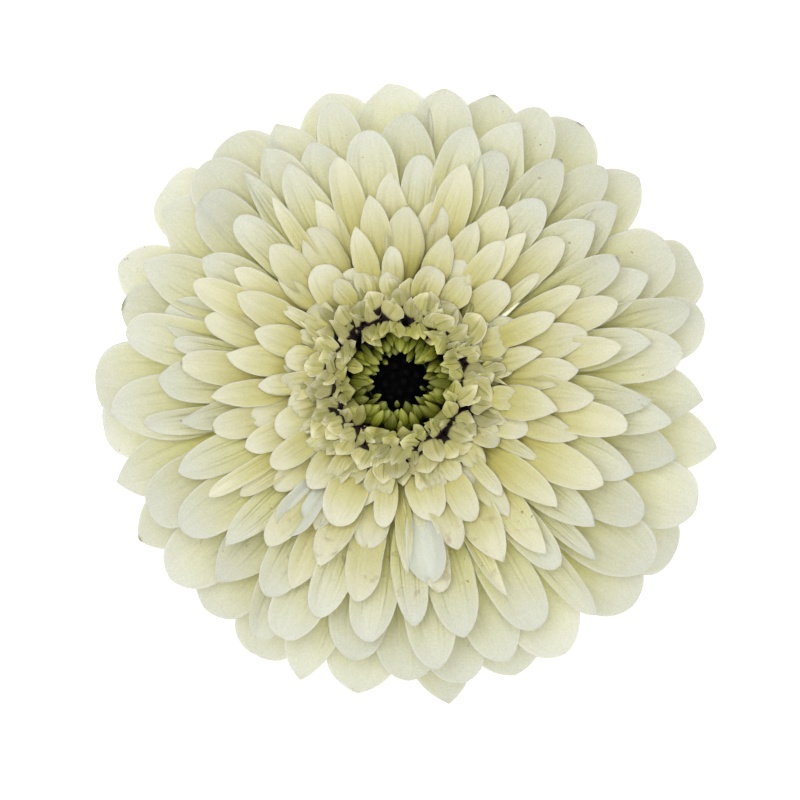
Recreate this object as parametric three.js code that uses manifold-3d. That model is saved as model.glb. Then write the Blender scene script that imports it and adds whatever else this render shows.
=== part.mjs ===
// A double white gerbera bloom, picked with a short stub of stem and laid face up on a surface.
// Millimetres, +Z up out of the bloom's face. The bloom rests on the surface z = 0, on its cut stem and
// lowest petals, and x = y = 0 is the middle of its outline, a little beside the dark eye, as its petals
// are longer on one side.
//
// Florets stand on the head along one spiral at the golden angle, outermost first. Every petal, lobe, bud
// and bract is a thin blade or a spindle whose rib is an arc: it leaves its root at one slope and ends at
// another.
import * as THREE from "three";
import { mergeVertices } from "three/addons/utils/BufferGeometryUtils.js";
import Module from "manifold-3d";

const wasm = await Module();
wasm.setup();

const { degToRad, clamp, smoothstep, lerp } = THREE.MathUtils;

// Driving dimensions
const bloomRadius = 61.0; // eye to the mean tip of the outermost ray florets
const innerRayRadius = 23.5; // eye to the tips of the innermost ray florets
const headRadius = 19.5; // roots of the outermost ray florets
const discRadius = 11.6; // bore of the floret rings, round the disc
const eyeRadius = 5.6; // dark middle of the disc
const stemRadius = 3.6;
const stemLength = 5.0; // the stub left below the head
const seatGap = 0.3; // between pieces that rest on each other
const bladeThickness = 0.62;
const ringThickness = 1.0; // slice of the head that one ring of florets grows from
const goldenAngle = degToRad(137.50776);
const firstFloret = degToRad(138);
const growthSeed = 64075; // picks how this one bloom grew: which petals turned out longer or wider

// The head leans a little, so petals on this side reach further
const longSide = degToRad(329);
const longSideShare = 0.0395;

// Ray florets, from the outermost ring in: how many stand in each ring
const rayRings = [34, 31, 29, 28, 27, 26];
const rayCount = rayRings.reduce((sum, count) => sum + count, 0);
const restingRays = 8; // the first few florets bend down until their tips lie on the surface

const ringStep = ringThickness + seatGap + 0.08;
const headBottom = stemLength + seatGap;
const firstRingBottom = headBottom + 8.3;
const firstRingTop = firstRingBottom + ringThickness;
const ringInset = 1.02; // each ring of rays is this much smaller than the one below
const discFloor = firstRingTop + 6.9;

const colours = {
  petal: 0xe9eadb,
  innerPetal: 0xe6e3c4,
  lobe: 0xdcd8a4,
  bud: 0x9aa03c,
  eye: 0x17101c,
  bract: 0x7f9a4e,
  stem: 0x8aa657,
};

// A repeatable draw from 0 to 1 for one floret and one of its features
function draw(index, feature) {
  let h = (Math.imul(index + 1, 0x9e3779b1) ^ Math.imul(feature + growthSeed + 1, 0x85ebca6b)) >>> 0;
  h = Math.imul(h ^ (h >>> 15), 0x2c1b3c6d) >>> 0;
  h = Math.imul(h ^ (h >>> 12), 0x297a2d39) >>> 0;
  return ((h ^ (h >>> 15)) >>> 0) / 4294967296;
}

const spread = (index, feature, reach) => (draw(index, feature) * 2 - 1) * reach;

// Where a floret stands round the head, give or take some degrees
const azimuthOf = (index, degrees) =>
  firstFloret + index * goldenAngle + degToRad(spread(index, 1, degrees));

// An arc in the upright plane through the head's axis: how far out and up it is at the share s of its length
function rib({ launch, end, length }, s) {
  const turn = end - launch;
  const slope = launch + turn * s;
  return {
    slope,
    out: (length * (Math.sin(slope) - Math.sin(launch))) / turn,
    up: (length * (Math.cos(launch) - Math.cos(slope))) / turn,
  };
}

// The length of an arc that reaches outward by a given distance
function lengthForReach(reach, launch, end) {
  return (reach * (end - launch)) / (Math.sin(end) - Math.sin(launch));
}

// Half the width of a blade: a narrow claw that widens, then a tip that is pointed or ends in a short edge
function halfWidth({ width, claw, clawShare = 0.12, widest, bluntness, tipShare = 0 }, s) {
  const neck = claw + (1 - claw) * smoothstep(s, clawShare, widest);
  if (s <= widest) return (width / 2) * neck;
  const taper = 1 - ((s - widest) / (1 - widest)) ** bluntness;
  return (width / 2) * Math.max(neck * taper, tipShare);
}

// A point on or beside the rib: across to the side, lifted off the blade's face
function ribPoint(form, s, across, lift) {
  const { slope, out, up } = rib(form, s);
  const radial = form.rootRadius + out - Math.sin(slope) * lift;
  const side = across + form.sweep * form.length * s * s;
  const height = Math.max(form.rootHeight + up, form.lowest ?? 0) + Math.cos(slope) * lift;
  const c = Math.cos(form.azimuth);
  const t = Math.sin(form.azimuth);
  return [radial * c - side * t, radial * t + side * c, height];
}

// Turns points and faces into a manifold solid
function solidFrom(points, faces) {
  const mesh = new wasm.Mesh({
    numProp: 3,
    vertProperties: new Float32Array(points.flat()),
    triVerts: new Uint32Array(faces.flat()),
  });
  return new wasm.Manifold(mesh);
}

// Triangles between two rows of points that may differ in number
function strip(near, far) {
  const faces = [];
  let i = 0;
  let j = 0;
  while (i < near.length - 1 || j < far.length - 1) {
    const nearNext = near.length > 1 ? (i + 1) / (near.length - 1) : Infinity;
    const farNext = far.length > 1 ? (j + 1) / (far.length - 1) : Infinity;
    if (i < near.length - 1 && nearNext <= farNext) faces.push([near[i], far[j], near[++i]]);
    else faces.push([near[i], far[j], far[++j]]);
  }
  return faces;
}

// A thin blade cupped across: two columns of points at its root, three along it, one or two at its tip
function blade(form) {
  const points = [];
  const faces = [];
  const half = bladeThickness / 2;
  const tipColumns = form.tipShare ? [-1, 1] : [0];
  const rows = form.stations.map((s) => {
    const w = halfWidth(form, s);
    const columns = s === 0 ? [-1, 1] : s === 1 ? tipColumns : [-1, 0, 1];
    const lift = (t) => (form.cup * t * t + form.roll * t) * w;
    const face = (offset) => columns.map((t) => points.push(ribPoint(form, s, w * t, lift(t) + offset)) - 1);
    return { top: face(half), bottom: face(-half) };
  });
  const quad = (a, b, c, d) => faces.push([a, b, c], [a, c, d]);
  for (let i = 0; i < rows.length - 1; i++) {
    const near = rows[i];
    const far = rows[i + 1];
    faces.push(...strip(near.top, far.top));
    faces.push(...strip(near.bottom, far.bottom).map(([a, b, c]) => [a, c, b]));
    quad(near.bottom[0], far.bottom[0], far.top[0], near.top[0]);
    quad(near.top.at(-1), far.top.at(-1), far.bottom.at(-1), near.bottom.at(-1));
  }
  const root = rows[0];
  const tip = rows.at(-1);
  quad(root.top[0], root.top[1], root.bottom[1], root.bottom[0]);
  if (form.tipShare) quad(tip.top[0], tip.bottom[0], tip.bottom[1], tip.top[1]);
  return solidFrom(points, faces);
}

// A spindle-shaped bud: four sides round its rib, pointed at its tip
function bud(form) {
  const points = [];
  const faces = [];
  const sides = 4;
  const stations = [0, 0.35, 0.72];
  for (const s of stations) {
    const r = (form.width / 2) * lerp(form.claw, 1, Math.sin(Math.PI * clamp(s * 0.8, 0, 1)));
    for (let k = 0; k < sides; k++) {
      const around = (2 * Math.PI * k) / sides;
      points.push(ribPoint(form, s, r * Math.cos(around), r * Math.sin(around)));
    }
  }
  const tip = points.length;
  points.push(ribPoint(form, 1, 0, 0));
  for (let i = 0; i < stations.length - 1; i++) {
    for (let k = 0; k < sides; k++) {
      const a = i * sides + k;
      const b = i * sides + ((k + 1) % sides);
      faces.push([a, b, b + sides], [a, b + sides, a + sides]);
    }
  }
  const top = (stations.length - 1) * sides;
  for (let k = 0; k < sides; k++) faces.push([top + k, top + ((k + 1) % sides), tip]);
  for (let k = 1; k < sides - 1; k++) faces.push([0, k + 1, k]);
  return solidFrom(points, faces);
}

// A solid of revolution about the head's axis
function turned(profile, segments) {
  const points = profile.map(([radius, height]) => new THREE.Vector2(radius, height));
  const lathe = new THREE.LatheGeometry(points, segments);
  lathe.rotateX(Math.PI / 2);
  lathe.deleteAttribute("normal");
  lathe.deleteAttribute("uv");
  const merged = mergeVertices(lathe, 1e-4);
  const index = merged.index.array;
  const faces = [];
  for (let i = 0; i < index.length; i += 3) {
    const face = [index[i], index[i + 1], index[i + 2]];
    if (new Set(face).size === 3) faces.push(face);
  }
  const position = merged.getAttribute("position");
  const at = (i) => [position.getX(i), position.getY(i), position.getZ(i)];
  const vertices = Array.from({ length: position.count }, (_, i) => at(i));
  const made = solidFrom(vertices, faces);
  return made.volume() > 0 ? made : solidFrom(vertices, faces.map(([a, b, c]) => [a, c, b]));
}

// A flat ring with its axis on the head's
function ring(innerRadius, outerRadius, bottom, top, segments = 16) {
  const section = [
    [innerRadius, bottom],
    [outerRadius, bottom],
    [outerRadius, top],
    [innerRadius, top],
    [innerRadius, bottom],
  ];
  return turned(section, segments);
}

function meshFrom(name, solid, colour, roughness) {
  const { vertProperties, triVerts } = solid.getMesh();
  const geometry = new THREE.BufferGeometry();
  geometry.setAttribute("position", new THREE.BufferAttribute(vertProperties, 3));
  geometry.setIndex(new THREE.BufferAttribute(triVerts, 1));
  geometry.computeVertexNormals();
  const material = new THREE.MeshStandardMaterial({ color: colour, roughness, metalness: 0 });
  const mesh = new THREE.Mesh(geometry, material);
  mesh.name = name;
  return mesh;
}

const largestShell = (solid) =>
  solid.decompose().reduce((largest, shell) => (shell.volume() > largest.volume() ? shell : largest));

// What joins a ring's florets is the slice of the head that they grow from. Pockets shut in between them
// are filled.
function fused(core, florets) {
  const whole = largestShell(wasm.Manifold.union([core, ...florets]));
  return largestShell(whole.simplify(0.05));
}

const ringRadius = (k) => headRadius - ringInset * k;
const ringTop = (k) => firstRingTop + ringStep * k;

// One ray floret's form: place is its share of the way in along the spiral
function rayFloret(index, k, shareOfRing) {
  const place = index / (rayCount - 1);
  const azimuth = azimuthOf(index, 2);
  const lean = 1 + longSideShare * Math.cos(azimuth - longSide);
  const launch = degToRad(10 + 62 * place ** 0.9 + spread(index, 2, 1));
  const end = degToRad(index < restingRays ? -46 : -34 + 34 * place + spread(index, 3, 1.6));
  const rootRadius = ringRadius(k) - lerp(0.7, 0.3, place) - 0.3 * shareOfRing;
  const tipRadius =
    (innerRayRadius + (bloomRadius - innerRayRadius) * (1 - place ** 1.25)) *
    (1 + spread(index, 4, 0.025)) *
    lean;
  return {
    azimuth,
    rootRadius,
    rootHeight: ringTop(k) - lerp(0.5, 0.85, place) + lerp(0.1, 0.3, place) * shareOfRing,
    launch,
    end,
    length: lengthForReach(tipRadius - rootRadius, launch, end),
    width: lerp(14.2, 6.9, smoothstep(place, 0.05, 0.6)) * (1 + spread(index, 5, 0.12)),
    claw: 0.2,
    widest: 0.66,
    bluntness: lerp(3.4, 2.8, place),
    tipShare: k < 3 ? 0.32 : 0,
    cup: lerp(0, 0.08, smoothstep(place, 0.1, 0.5)) + spread(index, 6, 0.03),
    roll: spread(index, 7, 0.03),
    sweep: spread(index, 8, 0.03),
    lowest: bladeThickness / 2 + 0.1,
    stations: k < 1 ? [0, 0.34, 0.66, 0.88, 1] : [0, 0.42, 0.8, 1],
  };
}

function rayRing(k) {
  const first = rayRings.slice(0, k).reduce((sum, count) => sum + count, 0);
  const core = ring(discRadius, ringRadius(k), ringTop(k) - ringThickness, ringTop(k));
  const florets = Array.from({ length: rayRings[k] }, (_, i) =>
    blade(rayFloret(first + i, k, i / rayRings[k])),
  );
  const colour = k < 3 ? colours.petal : colours.innerPetal;
  return meshFrom(`ray_florets_${k + 1}`, fused(core, florets), colour, 0.55);
}

// Short florets between the rays and the disc: their packed tubes make a sloped collar, and their broad
// lobes flop outward
const collar = {
  bottom: ringTop(rayRings.length - 1) + seatGap,
  radius: ringRadius(rayRings.length),
  foot: 5.0,
  crown: 7.8,
};
const lobeWidth = 4.3;
const lobeTiers = [
  { count: 19, inset: 0.6, rise: 4.6, length: 8.4, launch: 54, end: -18 },
  { count: 18, inset: 0.95, rise: 5.9, length: 6.6, launch: 65, end: -24 },
  { count: 15, inset: 1.3, rise: 7.1, length: 4.8, launch: 72, end: -28 },
];

function lobeFloret(tier, r, i) {
  const index = 1000 + 100 * r + i;
  return {
    azimuth: ((i + r / 3) / tier.count) * 2 * Math.PI + degToRad(spread(index, 1, 3)),
    rootRadius: collar.radius - tier.inset,
    rootHeight: collar.bottom + tier.rise,
    launch: degToRad(tier.launch + spread(index, 2, 2)),
    end: degToRad(tier.end + spread(index, 3, 5)),
    length: tier.length * (1 + spread(index, 4, 0.07)),
    width: lobeWidth * (1 + spread(index, 5, 0.12)),
    claw: 0.5,
    widest: 0.7,
    bluntness: 2.4,
    tipShare: 0.5,
    cup: spread(index, 6, 0.04),
    roll: spread(index, 7, 0.04),
    sweep: spread(index, 8, 0.05),
    stations: [0, 0.64, 1],
  };
}

function lobeRing() {
  const section = [
    [discRadius, collar.bottom],
    [collar.radius, collar.bottom],
    [collar.radius, collar.bottom + collar.foot],
    [discRadius + 0.6, collar.bottom + collar.crown],
    [discRadius, collar.bottom + collar.crown - 0.8],
    [discRadius, collar.bottom],
  ];
  const florets = lobeTiers.flatMap((tier, r) =>
    Array.from({ length: tier.count }, (_, i) => blade(lobeFloret(tier, r, i))),
  );
  return meshFrom("trans_florets", fused(turned(section, 16), florets), colours.lobe, 0.6);
}

// Green closed florets of the disc, leaning in over the eye
const discBuds = {
  count: 48,
  outer: discRadius - seatGap - 1.1,
  inner: eyeRadius + 1.9,
  length: 8.8,
  innerLength: 6.6,
  width: 1.95,
};

function discBud(i) {
  const index = rayCount + i;
  const place = i / (discBuds.count - 1);
  return {
    azimuth: azimuthOf(index, 1.5),
    rootRadius: Math.sqrt(lerp(discBuds.outer ** 2, discBuds.inner ** 2, place)),
    rootHeight: discFloor + 0.5,
    launch: degToRad(lerp(82, 88, place) + spread(index, 2, 1)),
    end: degToRad(lerp(150, 140, place) + spread(index, 3, 3)),
    length: lerp(discBuds.length, discBuds.innerLength, place) * (1 + spread(index, 4, 0.08)),
    width: discBuds.width * (1 + spread(index, 5, 0.12)),
    claw: 0.45,
    sweep: spread(index, 8, 0.05),
  };
}

function discRing() {
  const core = ring(eyeRadius + seatGap, discRadius - seatGap, discFloor, discFloor + ringThickness);
  const florets = Array.from({ length: discBuds.count }, (_, i) => bud(discBud(i)));
  return meshFrom("disc_florets", fused(core, florets), colours.bud, 0.5);
}

// The dark eye: small pointed buds packed over a low dome
const eyeBuds = { count: 14, length: 2.8, width: 1.8 };

function eyeDome() {
  const dome = [
    [0, discFloor],
    [eyeRadius, discFloor],
    [eyeRadius - 0.2, discFloor + 0.9],
    [eyeRadius * 0.6, discFloor + 1.6],
    [0, discFloor + 1.9],
  ];
  const florets = Array.from({ length: eyeBuds.count }, (_, i) => {
    const share = Math.sqrt((i + 0.6) / eyeBuds.count);
    return bud({
      azimuth: i * goldenAngle,
      rootRadius: (eyeRadius - 1) * share,
      rootHeight: discFloor + 1.3 - 0.7 * share * share,
      launch: degToRad(86),
      end: degToRad(100 + spread(3000 + i, 3, 6)),
      length: eyeBuds.length,
      width: eyeBuds.width,
      claw: 0.6,
      sweep: 0,
    });
  });
  return meshFrom("eye_florets", fused(turned(dome, 12), florets), colours.eye, 0.7);
}

// The green head below the florets, with its pointed bracts lying over one another in two rows
const bractRows = [
  { count: 16, root: 7.2, height: 0.85, length: 8.8, launch: 16, end: 38, width: 4.2 },
  { count: 20, root: 12.2, height: 3.0, length: 7.7, launch: 28, end: 45, width: 4.6 },
];

function bract(row, r, i) {
  const index = 4000 + 100 * r + i;
  return blade({
    azimuth: ((i + 0.5 * (r % 2)) / row.count) * 2 * Math.PI + degToRad(spread(index, 1, 2)),
    rootRadius: row.root,
    rootHeight: headBottom + row.height,
    launch: degToRad(row.launch),
    end: degToRad(row.end),
    length: row.length * (1 + spread(index, 4, 0.03)),
    width: row.width,
    claw: 0.7,
    widest: 0.4,
    bluntness: 1.5,
    cup: 0.15,
    roll: 0,
    sweep: spread(index, 8, 0.02),
    stations: [0, 0.5, 1],
  });
}

function involucre() {
  const postRadius = discRadius - seatGap;
  const seat = firstRingBottom - seatGap;
  const head = [
    [0, headBottom],
    [stemRadius + 0.7, headBottom],
    [8.2, headBottom + 1.1],
    [12.6, headBottom + 3.2],
    [16.2, headBottom + 5.7],
    [18.4, seat],
    [postRadius, seat],
    [postRadius, discFloor - seatGap],
    [0, discFloor - seatGap],
  ];
  const bracts = bractRows.flatMap((row, r) =>
    Array.from({ length: row.count }, (_, i) => bract(row, r, i)),
  );
  return meshFrom("receptacle_and_bracts", fused(turned(head, 20), bracts), colours.bract, 0.7);
}

// The cut stub, faintly ribbed, wider where it meets the head
function stem() {
  const sides = 20;
  const ribs = 0.18;
  const section = (radius) =>
    Array.from({ length: sides }, (_, i) => {
      const a = (2 * Math.PI * i) / sides;
      const r = radius + (i % 2 ? -ribs : ribs);
      return [r * Math.cos(a), r * Math.sin(a)];
    });
  const levels = [
    [0, stemRadius - 0.1],
    [stemLength * 0.6, stemRadius],
    [stemLength, stemRadius + 0.5],
  ];
  const points = levels.flatMap(([z, r]) => section(r).map(([x, y]) => [x, y, z]));
  const faces = [];
  for (let j = 0; j < levels.length - 1; j++) {
    for (let i = 0; i < sides; i++) {
      const a = j * sides + i;
      const b = j * sides + ((i + 1) % sides);
      faces.push([a, b, b + sides], [a, b + sides, a + sides]);
    }
  }
  const bottom = points.push([0, 0, 0]) - 1;
  const top = points.push([0, 0, stemLength]) - 1;
  const upper = (levels.length - 1) * sides;
  for (let i = 0; i < sides; i++) {
    const next = (i + 1) % sides;
    faces.push([bottom, next, i], [top, upper + i, upper + next]);
  }
  return meshFrom("stem_stub", solidFrom(points, faces), colours.stem, 0.6);
}

const bloom = new THREE.Group();
bloom.name = "gerbera_bloom";
bloom.add(stem(), involucre());
for (let k = 0; k < rayRings.length; k++) bloom.add(rayRing(k));
bloom.add(lobeRing(), discRing(), eyeDome());

// The middle of the outline goes to the origin; the eye lies a little beside it
const outline = new THREE.Box3().setFromObject(bloom, true);
const middle = outline.getCenter(new THREE.Vector3());
bloom.position.set(-middle.x, -middle.y, 0);

export default bloom;
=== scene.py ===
from math import cos, degrees, pi, radians, sin

import bpy
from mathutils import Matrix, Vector


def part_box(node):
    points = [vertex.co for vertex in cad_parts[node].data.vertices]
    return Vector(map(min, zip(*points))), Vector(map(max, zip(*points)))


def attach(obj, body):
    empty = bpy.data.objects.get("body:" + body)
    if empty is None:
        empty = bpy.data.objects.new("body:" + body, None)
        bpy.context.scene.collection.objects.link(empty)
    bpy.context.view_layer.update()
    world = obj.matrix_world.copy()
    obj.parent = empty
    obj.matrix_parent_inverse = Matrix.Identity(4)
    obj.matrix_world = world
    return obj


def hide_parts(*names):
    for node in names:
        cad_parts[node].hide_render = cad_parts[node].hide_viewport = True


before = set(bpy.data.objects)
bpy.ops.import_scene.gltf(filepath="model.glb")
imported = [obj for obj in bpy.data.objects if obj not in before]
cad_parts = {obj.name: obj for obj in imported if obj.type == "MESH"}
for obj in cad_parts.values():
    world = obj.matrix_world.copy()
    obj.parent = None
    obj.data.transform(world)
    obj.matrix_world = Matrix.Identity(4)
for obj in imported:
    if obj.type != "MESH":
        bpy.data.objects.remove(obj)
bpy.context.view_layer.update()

mm = 0.001

# How this bloom grew, in millimetres and degrees. Its florets stand where the solids have theirs, to
# within a few degrees.
bloom = {
    "outerReach": 61.0,
    "innerReach": 23.5,
    "headRadius": 19.5,
    "discRadius": 11.6,
    "eyeRadius": 5.6,
    "ringInset": 1.02,
    "ringStep": 1.38,
    "ringThickness": 1.0,
    "firstRingTop": 14.6,
    "headBottom": 5.3,
    "discRise": 6.9,
    "seatGap": 0.3,
    "longSide": 329.0,
    "longSideShare": 0.0395,
    "goldenAngle": 137.50776,
    "firstFloret": 138.0,
    "growthSeed": 64075,
    "rings": [34, 31, 29, 28, 27, 26],
    "restingRays": 8,
}
rayCount = sum(bloom["rings"])

# the bloom's own axis runs up through its stem
stemLow, stemHigh = (Vector(corner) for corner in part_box("stem_stub"))
axis = (stemLow + stemHigh) / 2

# where each kind's draws begin, so that no two florets share theirs
firstDraw = {
    "lobes": 1000, "fillLobes": 1500, "crownLobes": 1700, "lowBuds": 1900, "slivers": 2100,
    "curls": 2300, "strays": 2500, "eyeBuds": 3000, "bracts": 4000,
}


def draw(index, feature):
    # a repeatable number from 0 to 1 for a floret, with another feature number for each thing drawn:
    # odd multipliers and shifts mix the bits of a 32 bit number
    h = (((index + 1) * 0x9E3779B1) ^ ((feature + bloom["growthSeed"] + 1) * 0x85EBCA6B)) & 0xFFFFFFFF
    h = ((h ^ (h >> 15)) * 0x2C1B3C6D) & 0xFFFFFFFF
    h = ((h ^ (h >> 12)) * 0x297A2D39) & 0xFFFFFFFF
    return (h ^ (h >> 15)) / 2 ** 32


def spread(index, feature, reach):
    return (draw(index, feature) * 2 - 1) * reach


def mix(a, b, share):
    return a + (b - a) * share


def smooth(x, low, high):
    x = min(max((x - low) / (high - low), 0), 1)
    return x * x * (3 - 2 * x)


def lengthForReach(reach, launch, end):
    return reach * (end - launch) / (sin(end) - sin(launch))


def climbOf(length, launch, end):
    # how far a floret's middle line rises above its root
    return length * (cos(max(end, 0)) - cos(launch)) / (launch - end)


# node trees


def addNode(tree, kind, inputs=None, **settings):
    # a new node with its settings, each given input linked or set
    node = tree.nodes.new(kind)
    for name, value in settings.items():
        setattr(node, name, value)
    for key, value in (inputs or {}).items():
        if isinstance(value, Field):
            value = value.socket
        if isinstance(value, bpy.types.NodeSocket):
            tree.links.new(value, node.inputs[key])
        else:
            node.inputs[key].default_value = value
    return node


class Field:
    # one socket of a node tree, so that sums can be written as sums

    def __init__(self, tree, socket):
        self.tree = tree
        self.socket = socket

    def use(self, operation, *others):
        given = dict(enumerate((self, *others)))
        return Field(self.tree, addNode(self.tree, "ShaderNodeMath", given, operation=operation).outputs[0])

    def __add__(self, other):
        return self.use("ADD", other)

    __radd__ = __add__

    def __sub__(self, other):
        return self.use("SUBTRACT", other)

    def __rsub__(self, other):
        return self.use("MULTIPLY", -1.0).use("ADD", other)

    def __mul__(self, other):
        return self.use("MULTIPLY", other)

    def __truediv__(self, other):
        return self.use("DIVIDE", other)

    def __pow__(self, other):
        return self.use("POWER", other)

    def sin(self):
        return self.use("SINE")

    def cos(self):
        return self.use("COSINE")

    def most(self, other):
        return self.use("MAXIMUM", other)

    def least(self, other):
        return self.use("MINIMUM", other)

    def rise(self, low, high):
        # climbs smoothly from 0 at low to 1 at high
        given = {"Value": self, "From Min": low, "From Max": high}
        node = addNode(self.tree, "ShaderNodeMapRange", given, interpolation_type="SMOOTHSTEP")
        return Field(self.tree, node.outputs["Result"])


def named(tree, name):
    node = addNode(tree, "GeometryNodeInputNamedAttribute", {"Name": name}, data_type="FLOAT")
    return Field(tree, node.outputs["Attribute"])


def vectorOf(tree, *parts):
    return addNode(tree, "ShaderNodeCombineXYZ", dict(enumerate(parts))).outputs[0]


def noiseField(tree, vector, scale, detail):
    # soft random waves round 0
    node = addNode(tree, "ShaderNodeTexNoise", {"Vector": vector, "Scale": scale, "Detail": detail})
    return Field(tree, node.outputs[0]) - 0.5


def modifierTree(name, sockets):
    # a Geometry Nodes tree and its named inputs
    tree = bpy.data.node_groups.new(name, "GeometryNodeTree")
    for label, kind in (("Geometry", "Geometry"), *sockets.items()):
        tree.interface.new_socket(label, in_out="INPUT", socket_type="NodeSocket" + kind)
    tree.interface.new_socket("Geometry", in_out="OUTPUT", socket_type="NodeSocketGeometry")
    start = tree.nodes.new("NodeGroupInput")
    given = {socket.name: Field(tree, socket) for socket in start.outputs if socket.name}
    return tree, given


def shapeStep(tree, kind, geometry, **inputs):
    # one step of a Geometry Nodes tree, from geometry to geometry
    return addNode(tree, "GeometryNode" + kind, {"Geometry": geometry, **inputs}).outputs["Geometry"]


def shapeOf(tree, thing):
    return addNode(tree, "GeometryNodeObjectInfo", {"Object": thing}).outputs["Geometry"]


def copiesOn(tree, points, **inputs):
    copies = addNode(tree, "GeometryNodeInstanceOnPoints", {"Points": points, **inputs})
    return shapeStep(tree, "RealizeInstances", copies.outputs["Instances"])


def joined(tree, *parts):
    join = tree.nodes.new("GeometryNodeJoinGeometry")
    for part in parts:
        tree.links.new(part, join.inputs["Geometry"])
    return join.outputs["Geometry"]


def floretTree():
    # bends a copy of the blank for every point into one petal, lobe, bud or bract
    plain = ("Thickness", "Roundness", "Pleat Height", "Pleats", "Ripple", "Edge Curl", "Angular", "Ragged")
    sockets = {"Blank": "Object", "Core": "Object", "Flesh": "Material", "Axis": "Vector"}
    tree, given = modifierTree("florets", {**sockets, **dict.fromkeys(plain, "Float")})
    copies = copiesOn(tree, given["Geometry"], Instance=shapeOf(tree, given["Blank"]))

    s, t, side = (named(tree, name) for name in ("along", "across", "face"))
    f = {name: named(tree, name) for name in floretFeatures}
    turn = f["end"] - f["launch"]
    slope = f["launch"] + turn * s
    out = f["length"] * (slope.sin() - f["launch"].sin()) / turn
    up = f["length"] * (f["launch"].cos() - slope.cos()) / turn

    # a claw that widens in a soft curve, or straight where the floret is angular
    soft = s.rise(f["clawShare"], f["widest"])
    straight = ((s - f["clawShare"]) / (f["widest"] - f["clawShare"])).most(0.0).least(1.0)
    neck = f["claw"] + (1 - f["claw"]) * (soft + (straight - soft) * given["Angular"])
    # past its widest place the blade closes, rounder where it is blunt
    pastWidest = ((s - f["widest"]) / (1 - f["widest"])).most(0.0)
    rounding = 0.94 - f["bluntness"].rise(1.8, 4.2) * 0.32
    w = f["width"] * 0.5 * neck * (1 - pastWidest ** (f["bluntness"] + f["skew"] * t)).most(0.0) ** rounding
    tear = noiseField(tree, vectorOf(tree, s * 4.5, t * 1.4, f["kin"] * 23.0), 1.5, 2.0)
    w = w * (1 + given["Ragged"] * tear * s.rise(0.2, 0.6))

    # shape across the blade: cup, pleats along it, curled edges, a hooded tip and slow waves
    across2 = t * t
    away = vectorOf(tree, s * 2.2, t * 1.3, f["kin"] * 7.3)
    wave = noiseField(tree, away, 1.1, 1.0)
    fine = noiseField(tree, vectorOf(tree, s * 7.0, t * 4.0, f["kin"] * 3.1), 1.2, 2.0)
    body = (s * 0.95).rise(0.1, 0.5)
    pleated = body * (1 - across2) * (1 - s.rise(0.7, 0.98))
    pleat = given["Pleat Height"] * ((t * given["Pleats"] + wave * 0.5) * pi).cos() * pleated
    lift = (
        w * (f["cup"] * across2 + (f["roll"] + f["twist"] * s) * t - f["fold"] * (across2 + 0.003) ** 0.5)
        + pleat
        + given["Ripple"] * wave * body * (across2 + 0.25)
        + given["Edge Curl"] * w * across2 * s.rise(0.45, 0.95)
        + f["crumple"] * fine * body
        - f["hood"] * f["length"] * (s - 0.55).most(0.0) ** 2.0
    )
    thick = given["Thickness"] * 0.5 * (1 - s * 0.35) + given["Roundness"] * w
    lift = lift + side * thick

    ahead = out - slope.sin() * lift
    beside = w * t + f["sweep"] * f["length"] * s * s
    # most point straight away from the axis, some are turned on their roots
    radial = f["rootRadius"] + ahead * f["yaw"].cos() - beside * f["yaw"].sin()
    across = ahead * f["yaw"].sin() + beside * f["yaw"].cos()
    height = (f["rootHeight"] + up).most(f["lowest"]) + slope.cos() * lift
    c, n = f["azimuth"].cos(), f["azimuth"].sin()
    place = vectorOf(tree, (radial * c - across * n) * mm, (radial * n + across * c) * mm, height * mm)
    place = addNode(tree, "ShaderNodeVectorMath", {0: place, 1: given["Axis"]}, operation="ADD").outputs[0]
    bent = shapeStep(tree, "SetPosition", copies, Position=place)
    result = joined(tree, shapeOf(tree, given["Core"]), bent)
    result = shapeStep(tree, "RealizeInstances", result)
    result = shapeStep(tree, "SetShadeSmooth", result)
    result = shapeStep(tree, "SetMaterial", result, Material=given["Flesh"])
    addNode(tree, "NodeGroupOutput", {"Geometry": result})
    return tree


# what each point carries about its floret
floretFeatures = [
    "azimuth", "rootRadius", "rootHeight", "launch", "end", "length", "width", "claw", "clawShare",
    "widest", "bluntness", "skew", "cup", "fold", "roll", "twist", "sweep", "hood", "crumple",
    "lowest", "yaw", "kin",
]


def addObject(name, data):
    thing = bpy.data.objects.new(name, data)
    bpy.context.scene.collection.objects.link(thing)
    return thing


def meshObject(name, vertices, faces, columns=None):
    mesh = bpy.data.meshes.new(name)
    mesh.from_pydata(vertices, [], faces)
    for feature, values in (columns or {}).items():
        mesh.attributes.new(feature, "FLOAT", "POINT").data.foreach_set("value", values)
    return addObject(name, mesh)


def bladeBlank(rows, columns):
    # a flat closed blade, one unit long: along runs root to tip, across edge to edge, face top to underside
    edges = [sin((j / columns - 0.5) * pi) for j in range(columns + 1)]
    around = [(t, (1 - t ** 4) ** 0.5) for t in edges]
    around += [(t, -((1 - t ** 4) ** 0.5)) for t in edges[-2:0:-1]]
    steps = [1 - (1 - i / rows) ** 1.6 for i in range(rows)]
    return tubeBlank("bladeBlank", steps, around)


def budBlank(rows, sides):
    # a closed spindle: across and face run round it
    around = [(cos(a), sin(a)) for a in (2 * pi * k / sides for k in range(sides))]
    steps = [1 - (1 - i / rows) ** 1.3 for i in range(rows)]
    return tubeBlank("budBlank", steps, around[::-1])


def bands(count, n):
    # four-sided faces between rings of n points each
    for i in range(count):
        for k in range(n):
            a, b = i * n + k, i * n + (k + 1) % n
            yield a, b, b + n, a + n


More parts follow.
